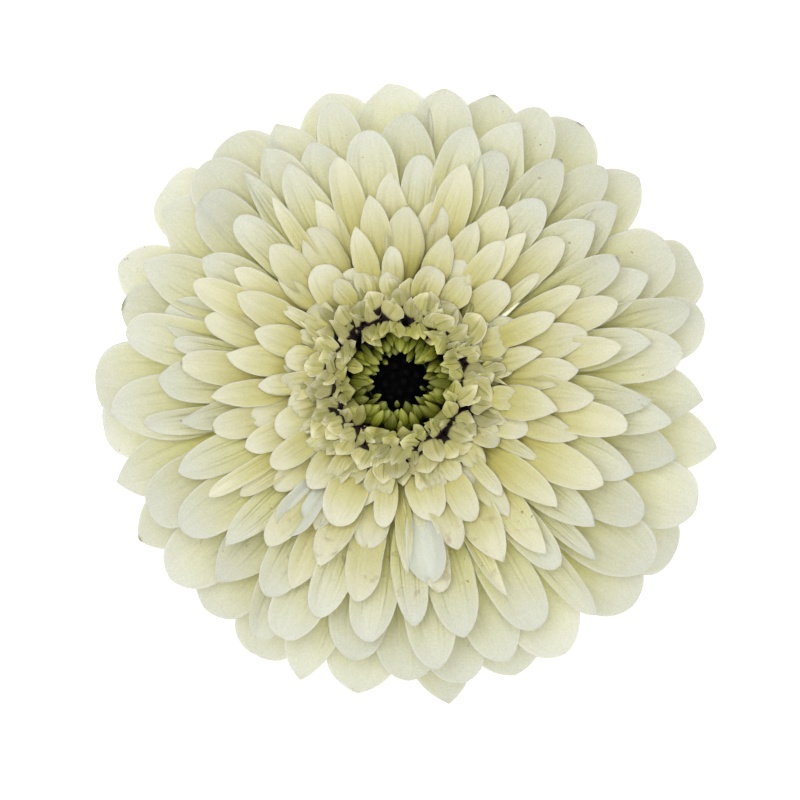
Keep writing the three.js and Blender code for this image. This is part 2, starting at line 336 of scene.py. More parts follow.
def tubeBlank(name, steps, around):
    vertices = [(s, t, side) for s in steps for t, side in around] + [(1.0, 0.0, 0.0)]
    columns = dict(zip(("along", "across", "face"), (list(values) for values in zip(*vertices))))
    n = len(around)
    faces = [(a, d, c, b) for a, b, c, d in bands(len(steps) - 1, n)]
    top = (len(steps) - 1) * n
    for k in range(n):
        faces.append((top + k, len(vertices) - 1, top + (k + 1) % n))
    faces.append(tuple(range(n)))
    return meshObject(name, vertices, faces, columns)


def turnedCore(name, profile, segments=64):
    # a solid of revolution in place on the bloom's axis; profile runs from bottom to top outside
    vertices, faces = [], []
    for k in range(segments):
        a = 2 * pi * k / segments
        for radius, height in profile:
            x, y = radius * mm * cos(a), radius * mm * sin(a)
            vertices.append((axis.x + x, axis.y + y, height * mm))
    n = len(profile)
    for k in range(segments):
        for i in range(n):
            a, b = k * n + i, ((k + 1) % segments) * n + i
            c, d = ((k + 1) % segments) * n + (i + 1) % n, k * n + (i + 1) % n
            faces.append((a, b, c, d))
    columns = dict.fromkeys(("along", "across", "face"), [0.0] * len(vertices))
    return meshObject(name, vertices, faces, {**columns, "kin": [0.5] * len(vertices)})


def ringProfile(inner, outer, bottom, top):
    return [(inner, bottom), (outer, bottom), (outer, top), (inner, top)]


def grownMesh(thing, tree, values):
    # the plain mesh that the tree makes of a thing with these inputs
    modifier = thing.modifiers.new(tree.name, "NODES")
    modifier.node_group = tree
    for socket in tree.interface.items_tree:
        if socket.in_out == "INPUT" and socket.name in values:
            modifier[socket.identifier] = values[socket.name]
    bpy.context.view_layer.update()
    depsgraph = bpy.context.evaluated_depsgraph_get()
    evaluated = thing.evaluated_get(depsgraph)
    mesh = bpy.data.meshes.new_from_object(evaluated, preserve_all_data_layers=True, depsgraph=depsgraph)
    thing.modifiers.remove(modifier)
    return mesh


def growPiece(name, florets, blank, core, flesh, node, slot, down=None, **settings):
    columns = {feature: [floret[feature] for floret in florets] for feature in floretFeatures}
    points = meshObject(name + "Points", [(0, 0, 0)] * len(florets), [], columns)
    values = {"Blank": blank, "Core": core, "Flesh": flesh, "Axis": (axis.x, axis.y, 0.0), **settings}
    mesh = grownMesh(points, petalTree, values)
    for feature in floretFeatures:
        if feature != "kin":
            mesh.attributes.remove(mesh.attributes[feature])
    mesh.name = name
    piece = addObject(name, mesh)
    for helper in (points, core):
        bpy.data.objects.remove(helper)
    if down:
        coverInDown(piece, down)
    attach(piece, "root")
    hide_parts(node)
    triangles = sum(len(face.vertices) - 2 for face in mesh.polygons)
    heights = [vertex.co.z / mm for vertex in mesh.vertices]
    reach = f"{min(heights):.1f} to {max(heights):.1f} mm high"
    print(f"{name}: {len(florets)} florets, {triangles} triangles, {reach}")


petalTree = floretTree()


def hairTree():
    # scatters short leaning hairs over the parts of a surface that face sideways or down
    plain = ("Per Square Metre", "Length", "Lean", "Highest Facing", "Lowest Facing")
    sockets = {"Hair": "Object", "Down": "Material", **dict.fromkeys(plain, "Float")}
    tree, given = modifierTree("hairs", sockets)
    normal = tree.nodes.new("GeometryNodeInputNormal").outputs[0]
    spot = tree.nodes.new("GeometryNodeInputPosition").outputs[0]
    apart = [addNode(tree, "ShaderNodeSeparateXYZ", {0: vector}) for vector in (normal, spot)]
    facing, height = (Field(tree, node.outputs[2]) for node in apart)
    below = facing.use("LESS_THAN", given["Highest Facing"])
    above = facing.use("GREATER_THAN", given["Lowest Facing"])
    # no hair pokes through the surface that the bloom lies on
    hairy = below * above * height.use("GREATER_THAN", 1.2 * mm)
    sown = {"Mesh": given["Geometry"], "Density": given["Per Square Metre"], "Seed": 11}
    points = addNode(tree, "GeometryNodeDistributePointsOnFaces", {**sown, "Selection": hairy})

    lean = {"Min": (-1, -1, -1), "Seed": 3}
    lean = addNode(tree, "FunctionNodeRandomValue", lean, data_type="FLOAT_VECTOR").outputs["Value"]
    tilt = {0: lean, "Scale": given["Lean"]}
    tilt = addNode(tree, "ShaderNodeVectorMath", tilt, operation="SCALE").outputs[0]
    tilt = addNode(tree, "FunctionNodeEulerToRotation", {0: tilt}).outputs[0]
    tilt = addNode(tree, "FunctionNodeRotateRotation", {0: points.outputs["Rotation"], 1: tilt}).outputs[0]
    size = addNode(tree, "FunctionNodeRandomValue", {2: 0.5, 3: 1.2, "Seed": 5})
    drawn = next(socket for socket in size.outputs if socket.enabled)
    size = Field(tree, drawn) * given["Length"]
    hair = shapeOf(tree, given["Hair"])
    hairs = copiesOn(tree, points.outputs["Points"], Instance=hair, Rotation=tilt, Scale=size)
    hairs = shapeStep(tree, "SetMaterial", hairs, Material=given["Down"])
    addNode(tree, "NodeGroupOutput", {"Geometry": joined(tree, given["Geometry"].socket, hairs)})
    return tree


downTree = hairTree()


def hairBlank():
    # one hair, a bent three-sided spike of unit length
    vertices, faces = [], list(bands(2, 3))
    for height, radius, lean in ((-0.05, 0.035, 0.0), (0.35, 0.026, 0.02), (0.7, 0.016, 0.09)):
        for k in range(3):
            a = 2 * pi * k / 3
            vertices.append((lean + radius * cos(a), radius * sin(a), height))
    vertices.append((0.2, 0.0, 1.0))
    for k in range(3):
        faces.append((6 + k, 6 + (k + 1) % 3, 9))
    faces.append((2, 1, 0))
    return meshObject("hair", vertices, faces)


def coverInDown(piece, down):
    bare = len(piece.data.polygons)
    piece.data = grownMesh(piece, downTree, down)
    hairs = (len(piece.data.polygons) - bare) // len(down["Hair"].data.polygons)
    print(f"{piece.name}: {hairs} hairs")


# shader groups


def colourOf(*swatch):
    # sRGB numbers as a painter reads them off a swatch, to linear light
    linear = [c / 255 / 12.92 if c < 11 else ((c / 255 + 0.055) / 1.055) ** 2.4 for c in swatch]
    return (*linear, 1.0)


def newGroup(name, output, inputs):
    tree = bpy.data.node_groups.new(name, "ShaderNodeTree")
    for label, value in inputs.items():
        form = "NodeSocketColor" if isinstance(value, tuple) else "NodeSocketFloat"
        tree.interface.new_socket(label, in_out="INPUT", socket_type=form).default_value = value
    form = "NodeSocketColor" if output == "Color" else "NodeSocketFloat"
    tree.interface.new_socket(output, in_out="OUTPUT", socket_type=form)
    start = tree.nodes.new("NodeGroupInput")
    return tree, {socket.name: Field(tree, socket) for socket in start.outputs if socket.name}


def attributeFields(tree, *names):
    nodes = [addNode(tree, "ShaderNodeAttribute", attribute_name=name) for name in names]
    return [Field(tree, node.outputs["Fac"]) for node in nodes]


def objectPlace(tree):
    return tree.nodes.new("ShaderNodeTexCoord").outputs["Object"]


def fromAxis(tree):
    # how far a point lies towards the top of the picture from the bloom's axis, and how far from it, in mm
    apart = addNode(tree, "ShaderNodeSeparateXYZ", {0: objectPlace(tree)})
    x = Field(tree, apart.outputs[0]) * 1000.0 - axis.x * 1000
    y = Field(tree, apart.outputs[1]) * 1000.0 - axis.y * 1000
    return y, (x * x + y * y) ** 0.5


def blendColour(tree, share, a, b, kind="MIX"):
    given = {0: share, 6: a, 7: b}
    return addNode(tree, "ShaderNodeMix", given, data_type="RGBA", blend_type=kind).outputs[2]


whiteKin = (1.1, 1.3)  # a kin above these marks a petal that is white all over
strayWhite = (0.8, 0.83, 0.7, 1.0)
# the colour of the painted highlight along the edges of the blades
rimHighlightColour = (1.0, 0.98, 0.84, 1.0)
palePetal = (0.8, 0.8, 0.6, 1.0)


def petalTintGroup():
    # colour from a floret's root to its tip, with its own tone, faint veins and a painted highlight along
    # its edges
    tree, given = newGroup("petalTint", "Color", {
        "Deep": colourOf(190, 184, 110),
        "Body": colourOf(222, 222, 190),
        "Tip": colourOf(226, 228, 208),
        "Vein Colour": colourOf(190, 190, 120),
        "Deep Until": 0.3,
        "Body From": 0.6,
        "Veins": 0.15,
        "Vein Count": 9.0,
        "Midrib": 0.0,
        "Rim Highlight": 0.15,
        "Variation": 0.1,
        "Mottle": 0.06,
        "Grain": 0.1,
        "Underside": 0.0,
        "Underside Colour": colourOf(206, 214, 150),
    })
    along, across, side, kin = attributeFields(tree, "along", "across", "face", "kin")
    place = objectPlace(tree)
    streakAt = vectorOf(tree, across * given["Vein Count"], along * 1.4, kin * 41.0)
    streak = (noiseField(tree, streakAt, 1.0, 3.0) + 0.5).rise(0.42, 0.68)
    patch = noiseField(tree, place, 160.0, 3.0)
    reach = along + patch * 0.12
    # from the root colour to the body colour; on the rays the root colour is partly their own yellow and
    # partly painted light: glow through the petals on the outer rays, shade in the gaps on the inner rays
    pastRoot = reach.rise(given["Deep Until"], given["Body From"])
    colour = blendColour(tree, pastRoot, given["Deep"], given["Body"])
    colour = blendColour(tree, reach.rise(0.7, 1.0), colour, given["Tip"])
    colour = blendColour(tree, kin.rise(*whiteKin), colour, strayWhite)
    streak = streak * given["Veins"] * along.rise(0.05, 0.35)
    colour = blendColour(tree, streak, colour, given["Vein Colour"])
    spine = (1 - (across * across * 26.0).least(1.0)) * along.rise(0.1, 0.3) * (1 - along.rise(0.7, 1.0))
    colour = blendColour(tree, spine * given["Midrib"], colour, given["Vein Colour"])
    under = (side * -1.0).rise(0.1, 0.6) * (1 - along.rise(0.3, 0.9)) * given["Underside"]
    colour = blendColour(tree, under, colour, given["Underside Colour"])
    # painted highlight: a pale band along the thin edges, where light catches them and shines through
    rimHighlight = (across * across).rise(0.78, 1.0) * along.rise(0.3, 0.7) * given["Rim Highlight"]
    colour = blendColour(tree, rimHighlight, colour, rimHighlightColour)
    speckle = noiseField(tree, place, 2600.0, 2.0) * given["Grain"]
    shade = (kin.least(1.0) - 0.5) * given["Variation"] + patch * given["Mottle"] + speckle + 1.0
    colour = blendColour(tree, 1.0, colour, vectorOf(tree, shade, shade, shade), "MULTIPLY")
    addNode(tree, "NodeGroupOutput", {"Color": colour})
    return tree


def petalReliefGroup():
    # height in millimetres: lengthwise veins, two or three creases and a velvety grain
    tree, given = newGroup("petalRelief", "Height", {
        "Vein Count": 9.0,
        "Vein Height": 0.05,
        "Crease Depth": 0.12,
        "Ridge": 0.06,
        "Crepe": 0.0,
        "Grain": 0.02,
        "Grain Size": 3600.0,
    })
    along, across, kin = attributeFields(tree, "along", "across", "kin")
    streakAt = vectorOf(tree, across * given["Vein Count"], along * 1.4, kin * 41.0)
    veins = noiseField(tree, streakAt, 1.6, 3.0)
    wobble = noiseField(tree, vectorOf(tree, along * 2.0, kin * 17.0, 0.0), 1.5, 2.0)
    beside = (across * across) ** 0.5 - 0.36 - (kin - 0.5) * 0.14 + wobble * 0.16
    crease = 1 - (beside * beside * 60.0).least(1.0)
    middle = across + wobble * 0.1
    ridge = 1 - (middle * middle * 50.0).least(1.0)
    body = along.rise(0.12, 0.4) * (1 - along.rise(0.72, 0.95))
    grain = noiseField(tree, objectPlace(tree), given["Grain Size"], 2.0)
    height = veins * given["Vein Height"] - crease * given["Crease Depth"] - ridge * given["Ridge"]
    # fine wrinkles across the outer half
    wrinkle = noiseField(tree, vectorOf(tree, across * 9.0, along * 44.0, kin * 29.0), 1.0, 2.0)
    height = height * body + grain * given["Grain"] + wrinkle * along.rise(0.5, 0.85) * given["Crepe"]
    addNode(tree, "NodeGroupOutput", {"Height": height})
    return tree


def bruiseGroup():
    # pinkish-brown blotches where petals were folded, on the bloom's low side, and brown flecks and tips
    tree, given = newGroup("bruise", "Color", {
        "Color": palePetal,
        "Bruise Colour": colourOf(150, 112, 84),
        "Blotches": 0.5,
        "Flecks": 0.0,
        "Specks": 0.8,
    })
    along, kin = attributeFields(tree, "along", "kin")
    place = objectPlace(tree)
    y, distance = fromAxis(tree)
    # the low side runs from about 230 to 310 degrees
    facing = (y * -1.0) / distance
    sector = facing.rise(0.62, 0.9) * distance.rise(27.0, 32.0) * (1 - distance.rise(38.0, 43.0))
    blot = (noiseField(tree, place, 420.0, 4.0) + 0.5).rise(0.56, 0.72) * sector * given["Blotches"]
    colour = blendColour(tree, blot * (1 - kin.rise(*whiteKin)), given["Color"], given["Bruise Colour"])
    # a few fine brown flecks, in clusters
    cluster = (noiseField(tree, place, 75.0, 1.0) + 0.5).rise(0.6, 0.66) * distance.rise(26.0, 32.0)
    fleck = (noiseField(tree, place, 900.0, 3.0) + 0.5).rise(0.66, 0.71) * cluster
    colour = blendColour(tree, fleck * given["Flecks"], colour, colourOf(140, 104, 66))
    speck = along.rise(0.975, 0.995) * (1 - kin.rise(0.06, 0.08)) * given["Specks"]
    colour = blendColour(tree, speck, colour, colourOf(92, 70, 48))
    addNode(tree, "NodeGroupOutput", {"Color": colour})
    return tree


def darkTubesAndPaintedShadeGroup():
    # lobes and buds stand on dark tubes, seen down the gaps; their dark lower part, which fades out at
    # Reach from the axis, is partly the tubes' own purple-brown and partly painted shade in the deep
    # centre; those near the eye are younger and greener
    tree, given = newGroup("darkTubesAndPaintedShade", "Color", {
        "Color": palePetal,
        "Tube And Shade Colour": colourOf(34, 18, 24),
        "Young Colour": (1.0, 1.0, 1.0, 1.0),
        "Tube Length": 0.35,
        "Reach": 17.0,
    })
    (along,) = attributeFields(tree, "along")
    distance = fromAxis(tree)[1]
    wander = noiseField(tree, objectPlace(tree), 500.0, 2.0)
    young = 1 - (distance + wander * 3.0).rise(9.6, 12.6)
    colour = blendColour(tree, young, given["Color"], given["Young Colour"], "MULTIPLY")
    # painted shade and the tubes' own dark colour on the lower part of each lobe and bud, only near the
    # axis
    limb = (along + wander * 0.08).rise(given["Tube Length"] - 0.03, given["Tube Length"] + 0.03)
    share = (1 - limb) * (1 - distance.rise(given["Reach"] - 2.0, given["Reach"]))
    colour = blendColour(tree, share, colour, given["Tube And Shade Colour"])
    addNode(tree, "NodeGroupOutput", {"Color": colour})
    return tree


petalTint = petalTintGroup()
petalRelief = petalReliefGroup()
bruise = bruiseGroup()
darkTubesAndPaintedShade = darkTubesAndPaintedShadeGroup()


def newMaterial(name, shader):
    # a Principled material whose plain numbers stand on its own sockets
    material = bpy.data.materials.new(name)
    material.use_nodes = True
    tree = material.node_tree
    skin = tree.nodes["Principled BSDF"]
    for label, value in shader.items():
        skin.inputs[label].default_value = value
    return material, tree, skin


def bumped(tree, skin, height):
    bump = addNode(tree, "ShaderNodeBump", {"Height": height, "Distance": mm})
    tree.links.new(bump.outputs["Normal"], skin.inputs["Normal"])


def placed(tree, group, values):
    # a shader group in a material, with that material's values
    return addNode(tree, "ShaderNodeGroup", values, node_tree=group).outputs[0]


def petalMaterial(name, tint, relief, shader, blotches=0.0, tubesAndShade=None):
    material, tree, skin = newMaterial(name, {"Roughness": 0.6, "Specular IOR Level": 0.3, **shader})
    colour = placed(tree, petalTint, tint)
    # dark lower parts: partly the tubes' own colour, partly painted shade
    if tubesAndShade:
        colour = placed(tree, darkTubesAndPaintedShade, {"Color": colour, **tubesAndShade})
    if blotches:
        colour = placed(tree, bruise, {"Color": colour, "Blotches": blotches, "Flecks": 0.7, "Specks": 0.6})
    tree.links.new(colour, skin.inputs["Base Color"])
    bumped(tree, skin, placed(tree, petalRelief, relief))
    return material


# ray florets

rays = {
    "outerWidth": 14.2,
    "innerWidth": 6.9,
    "bladeColumns": 12,
    "bladeRows": 22,
    "thickness": 0.42,
    "pleatHeight": 0.45,
    "pleats": 2.6,
    "ripple": 0.9,
    "edgeCurl": 0.16,
    "innerHood": 0.34,
    "tipLift": 0.2,
    "innerSlimming": 0.14,
    "slimShare": 0.16,
    "crushedSide": 268.0,
    "innerFrom": 3,
    "innerPleating": 0.6,
    "ragged": 0.08,
    "innerRagged": 0.22,
    "strayRing": 3,
    "strays": [
        {"facing": 279.0, "reach": 38.6, "width": 7.6},
        {"facing": 232.0, "reach": 36.4, "width": 7.2},
    ],
    "strayRoot": 17.0,
    "strayHeight": 19.4,
}
curls = {"count": 30, "root": 13.9, "top": 28.4, "length": 10.5, "width": 5.0}

# the bright yellow root colour is partly the petals' own and partly painted glow of light shining through
# them into the shaded gaps
outerTint = {
    "Deep": colourOf(234, 230, 150),
    "Body": colourOf(232, 230, 188),
    "Tip": colourOf(234, 236, 218),
    "Vein Colour": colourOf(208, 206, 158),
    "Veins": 0.14,
    "Variation": 0.16,
    "Deep Until": 0.46,
    "Body From": 0.82,
    "Rim Highlight": 0.6,
    "Grain": 0.26,
    "Underside": 0.6,
}
# the olive root colour is partly the petals' own yellow and partly painted shade in the gaps near the lobes
innerTint = {
    "Deep": colourOf(212, 203, 118),
    "Body": colourOf(233, 228, 176),
    "Tip": colourOf(246, 243, 214),
    "Vein Colour": colourOf(206, 202, 140),
    "Veins": 0.14,
    "Deep Until": 0.42,
    "Body From": 0.84,
    "Rim Highlight": 0.65,
    "Grain": 0.22,
    "Underside": 0.5,
}
petalShader = {
    "Roughness": 0.52,
    "Subsurface Weight": 0.32,
    "Subsurface Scale": 0.0012,
    "Subsurface Radius": (1.0, 0.95, 0.75),
    "Sheen Weight": 0.12,
    "Sheen Roughness": 0.5,
}
outerRelief = {"Crease Depth": 0.2, "Ridge": 0.12, "Vein Height": 0.08, "Crepe": 0.1, "Grain": 0.07}
innerRelief = {"Crease Depth": 0.08, "Ridge": 0.08, "Vein Height": 0.07, "Vein Count": 6.0, "Grain": 0.04}
outerFlesh = petalMaterial("outerPetalFlesh", outerTint, outerRelief, petalShader, blotches=0.45)
innerFlesh = petalMaterial("innerPetalFlesh", innerTint, innerRelief, petalShader, blotches=0.35)

blade = bladeBlank(rays["bladeRows"], rays["bladeColumns"])


def floret(index, azimuth, **features):
    whole = {
        "azimuth": azimuth,
        "kin": draw(index, 11),
        "claw": 0.2,
        "clawShare": 0.12,
        "widest": 0.68,
        "bluntness": 2.2,
    }
    return {**dict.fromkeys(floretFeatures, 0.0), **whole, **features}


def azimuthOf(index, wander):
    # each floret stands at the golden angle from the one before it, give or take some degrees
    step = radians(bloom["goldenAngle"])
    return radians(bloom["firstFloret"]) + index * step + radians(spread(index, 1, wander))


lastRing = len(bloom["rings"]) - 1


def ringRadius(k):
    return bloom["headRadius"] - bloom["ringInset"] * k


def ringTop(k):
    return bloom["firstRingTop"] + bloom["ringStep"] * k


def rayStand(index):
    # a ray floret's share of the way in, its direction and how far out its tip reaches
    place = index / (rayCount - 1)
    azimuth = azimuthOf(index, 2)
    lean = 1 + bloom["longSideShare"] * cos(azimuth - radians(bloom["longSide"]))
    reach = bloom["innerReach"] + (bloom["outerReach"] - bloom["innerReach"]) * (1 - place ** 1.25)
    return place, azimuth, reach * (1 + spread(index, 4, 0.025)) * lean


def rayFloret(index, k, share):
    # the outermost florets lie flat and wide, the innermost stand up, cupped and hooded
    place, azimuth, tip = rayStand(index)
    free = smooth(place, 0.1, 0.3)
    launch = radians(10 + 62 * place ** 0.9 + spread(index, 2, 1))
    resting = index < bloom["restingRays"]
    end = radians(-46 if resting else -34 + 34 * place + spread(index, 3, 1.6))
    root = ringRadius(k) - mix(0.7, 0.3, place) - 0.3 * share
    length = lengthForReach(tip - root, launch, end)
    # no two grew alike: some stayed slim and folded, some longer, some stand off their neighbours
    slim = free if draw(index, 20) < rays["slimShare"] else 0
    width = mix(rays["outerWidth"], rays["innerWidth"], smooth(place, 0.05, 0.6))
    width = width * (1 + spread(index, 5, 0.12))
    toward = (degrees(azimuth) - rays["crushedSide"] + 180) % 360 - 180
    crushed = (1 - smooth(abs(toward), 28, 50)) * smooth(tip, 29, 33) * (1 - smooth(tip, 39, 44))
    puffy = smooth(place, 0.55, 0.85)
    lifted = smooth(index, bloom["restingRays"], 30) * (1 - smooth(place, 0.6, 0.85))
    hood = rays["innerHood"] * smooth(place, 0.65, 1.0) * draw(index, 13)
    cup = mix(0.06, 0.16, smooth(place, 0.1, 0.5))
    width = width * (1 + spread(index, 21, 0.1 + 0.1 * puffy) - rays["innerSlimming"] * puffy)
    return floret(
        index,
        azimuth + radians(spread(index, 23, 2.5)) * free,
        rootRadius=root,
        rootHeight=ringTop(k) - mix(0.5, 0.85, place) + mix(0.1, 0.3, place) * share,
        launch=launch + radians(spread(index, 24, 3.0)) * free,
        end=end + radians(spread(index, 25, 4.5) - 2 * slim - 5.5 * smooth(place, 0.5, 0.85)) * free,
        length=length * (1 + spread(index, 22, 0.05 + 0.05 * puffy) * free - 0.09 * crushed),
        width=width * (1 - 0.5 * slim),
        widest=mix(0.66, 0.62, place),
        bluntness=mix(3.2, 3.0, place) + spread(index, 19, 1.0),
        skew=spread(index, 16, 1.1),
        cup=cup + spread(index, 6, 0.08) - 0.4 * puffy * draw(index, 18),
        fold=-0.4 * slim + spread(index, 26, 0.08),
        roll=spread(index, 7, 0.03) + spread(index, 12, 0.06 + 0.35 * slim),
        twist=spread(index, 27, 0.12),
        sweep=spread(index, 8, 0.03) + spread(index, 28, 0.02 + 0.03 * slim),
        hood=hood - crushed * (0.45 + spread(index, 29, 0.35)) - rays["tipLift"] * lifted,
        crumple=1.5 * crushed + 0.2 + 0.4 * puffy,
        lowest=0.3,
    )


def strayRay(i):
    # a small white petal that stands up out of its row
    stray = rays["strays"][i]
    root, launch, end = rays["strayRoot"], radians(52), radians(-16)
    return floret(
        firstDraw["strays"] + i,
        radians(stray["facing"]),
        rootRadius=root,
        rootHeight=rays["strayHeight"],
        launch=launch,
        end=end,
        length=lengthForReach(stray["reach"] - root, launch, end),
        width=stray["width"],
        widest=0.76,
        bluntness=2.0,
        cup=0.6,
        fold=-0.3,
        roll=0.12,
        crumple=0.5,
        kin=1.6,
    )


def curl(i):
    # short hooded petals crowd against the lobes
    index = firstDraw["curls"] + i
    launch = radians(74 + spread(index, 2, 6))
    end = radians(-38 + spread(index, 3, 16))
    return floret(
        index,
        azimuthOf(index, 6),
        rootRadius=curls["root"] + spread(index, 9, 0.2),
        rootHeight=curls["top"] + spread(index, 10, 0.9) - climbOf(curls["length"], launch, end),
        launch=launch,
        end=end,
        length=curls["length"] * (1 + spread(index, 4, 0.12)),
        width=curls["width"] * (1 + spread(index, 5, 0.2)),
        widest=0.66,
        bluntness=2.6 + spread(index, 19, 0.6),
        skew=spread(index, 16, 0.8),
        cup=spread(index, 6, 0.3),
        fold=spread(index, 26, 0.3),
        roll=spread(index, 7, 0.3),
        twist=spread(index, 27, 0.3),
        hood=0.2 * draw(index, 13),
        crumple=0.9,
        yaw=radians(spread(index, 12, 18)),
    )


def growRayRing(k):
    first = sum(bloom["rings"][:k])
    florets = [rayFloret(first + i, k, i / bloom["rings"][k]) for i in range(bloom["rings"][k])]
    if k == rays["strayRing"]:
        florets += [strayRay(i) for i in range(len(rays["strays"]))]
    if k == lastRing:
        florets += [curl(i) for i in range(curls["count"])]
    top = ringTop(k)
    profile = ringProfile(bloom["discRadius"], ringRadius(k), top - bloom["ringThickness"], top)
    inner = k >= rays["innerFrom"]
    pleating = rays["innerPleating"] if inner else 1.0
    growPiece(
        f"rayFlorets{k + 1}",
        florets,
        blade,
        turnedCore(f"rayCore{k + 1}", profile),
        innerFlesh if inner else outerFlesh,
        f"ray_florets_{k + 1}",
        "inner_petal" if inner else "outer_petal",
        Thickness=rays["thickness"],
        Pleats=rays["pleats"],
        **{
            "Pleat Height": rays["pleatHeight"] * pleating,
            "Ripple": rays["ripple"] * pleating,
            "Edge Curl": rays["edgeCurl"],
            "Ragged": rays["innerRagged"] if inner else rays["ragged"],
        },
    )


for k in range(lastRing + 1):
    growRayRing(k)

# short florets between the rays and the disc

lobes = {
    "width": 4.8,
    "thickness": 0.3,
    "crumple": 0.5,
    "ripple": 0.4,
    "angular": 0.9,
    "ragged": 0.5,
    "bladeRows": 12,
    "bladeColumns": 10,
    "tiers": [
        {"count": 19, "inset": 0.6, "rise": 4.6, "length": 8.4, "launch": 54, "end": -18},
        {"count": 18, "inset": 0.95, "rise": 5.9, "length": 6.6, "launch": 65, "end": -24},
        {"count": 15, "inset": 1.3, "rise": 6.2, "length": 4.8, "launch": 72, "end": -28},
    ],
}
# the pairs run from the outermost to the innermost
fill = {
    "count": 22,
    "root": (13.1, 12.4),
    "rise": (4.6, 5.8),
    "launch": (56, 72),
    "end": (-25, -10),
    "length": (6.8, 5.0),
    "width": (5.2, 4.4),
}
# turn says how far a limb of that kind may point away from its facing
crown = {
    "count": 116,
    "top": 30.0,
    "inwardShare": 0.34,
    "uprightShare": 0.32,
    "uprightStray": 0.7,
    "uprightDrop": 0.5,
    "outward": {"root": 11.2, "end": -30, "length": 7.6, "width": 4.3, "facing": 0, "turn": 55},
    "inward": {"root": 13.0, "end": -8, "length": 6.6, "width": 3.2, "facing": 180, "turn": 55},
    "upright": {"root": 11.7, "end": -30, "length": 5.0, "width": 3.2, "facing": 0, "turn": 180},
}
slivers = {"count": 14, "root": 13.0, "rise": 4.0, "launch": 52, "end": -20, "length": 9.6, "width": 1.1}
collarBottom = ringTop(lastRing) + bloom["seatGap"]
collarRadius = ringRadius(lastRing + 1)

# the dark root colour, also on the collar core, is partly the tubes' own purple-brown and partly painted
# shade in the gaps between the lobes
lobeTint = {
    "Deep": colourOf(40, 24, 28),
    "Body": colourOf(196, 189, 128),
    "Tip": colourOf(240, 233, 194),
    "Vein Colour": colourOf(160, 162, 78),
    "Veins": 0.35,
    "Vein Count": 5.0,
    "Midrib": 0.5,
    "Deep Until": 0.26,
    "Body From": 0.5,
    "Rim Highlight": 0.8,
    "Variation": 0.5,
}
lobeRelief = {"Vein Height": 0.12, "Vein Count": 5.0, "Crease Depth": 0.03, "Ridge": 0.16, "Grain": 0.03}
lobeShader = {
    "Roughness": 0.5,
    "Subsurface Weight": 0.12,
    "Subsurface Scale": 0.0008,
    "Subsurface Radius": (1.0, 0.9, 0.5),
}
lobeTubesAndShade = {"Young Colour": (0.8, 0.82, 0.5, 1.0), "Tube Length": 0.42}
lobeFlesh = petalMaterial("lobeFlesh", lobeTint, lobeRelief, lobeShader, tubesAndShade=lobeTubesAndShade)


def lobe(index, azimuth, bluntest, folds, **features):
    # each lobe is blunt or pointed, folded, rolled, twisted and swept by chance
    chance = {
        "bluntness": mix(1.0, bluntest, draw(index, 19)),
        "skew": spread(index, 16, 0.6),
        "fold": mix(*folds, draw(index, 14)),
        "roll": spread(index, 15, 0.5),
        "twist": spread(index, 18, 0.5),
        "sweep": spread(index, 17, 0.2),
        "crumple": lobes["crumple"],
    }
    return floret(index, azimuth, **{**chance, **features})


def tierLobe(tier, r, i):
    index = firstDraw["lobes"] + 100 * r + i
    return lobe(
        index,
        (i + r / 3) / tier["count"] * 2 * pi + radians(spread(index, 1, 3)),
        bluntest=3.2,
        folds=(0.3, 1.2),
        rootRadius=collarRadius - tier["inset"],
        rootHeight=collarBottom + tier["rise"],
        launch=radians(tier["launch"] + spread(index, 2, 2)),
        end=radians(tier["end"] + spread(index, 3, 5)),
        length=tier["length"] * (1 + spread(index, 4, 0.07)),
        width=lobes["width"] * (1 + spread(index, 5, 0.12) + spread(index, 21, 0.12)),
        claw=0.22,
        widest=0.66,
        roll=spread(index, 7, 0.04) + spread(index, 15, 0.4),
        sweep=spread(index, 8, 0.05) + spread(index, 17, 0.12),
        yaw=radians(spread(index, 13, 22)),
    )


def fillLobe(i):
    # more lobes crowd between the tiers, turned every way
    index = firstDraw["fillLobes"] + i
    place = i / fill["count"]
    return lobe(
        index,
        azimuthOf(index, 8),
        bluntest=2.8,
        folds=(-0.3, 1.0),
        rootRadius=mix(*fill["root"], place) + spread(index, 9, 0.3),
        rootHeight=collarBottom + mix(*fill["rise"], place),
        launch=radians(mix(*fill["launch"], place) + spread(index, 2, 10)),
        end=radians(mix(*fill["end"], place) + spread(index, 3, 22)),
        length=mix(*fill["length"], place) * (1 + spread(index, 4, 0.2)),
        width=mix(*fill["width"], place) * (1 + spread(index, 5, 0.25)),
        claw=0.25,
        widest=0.62,
        twist=spread(index, 18, 0.6),
        yaw=radians(spread(index, 13, 45)),
    )


goldenShare = 0.618034  # mixes the kinds evenly round the ring


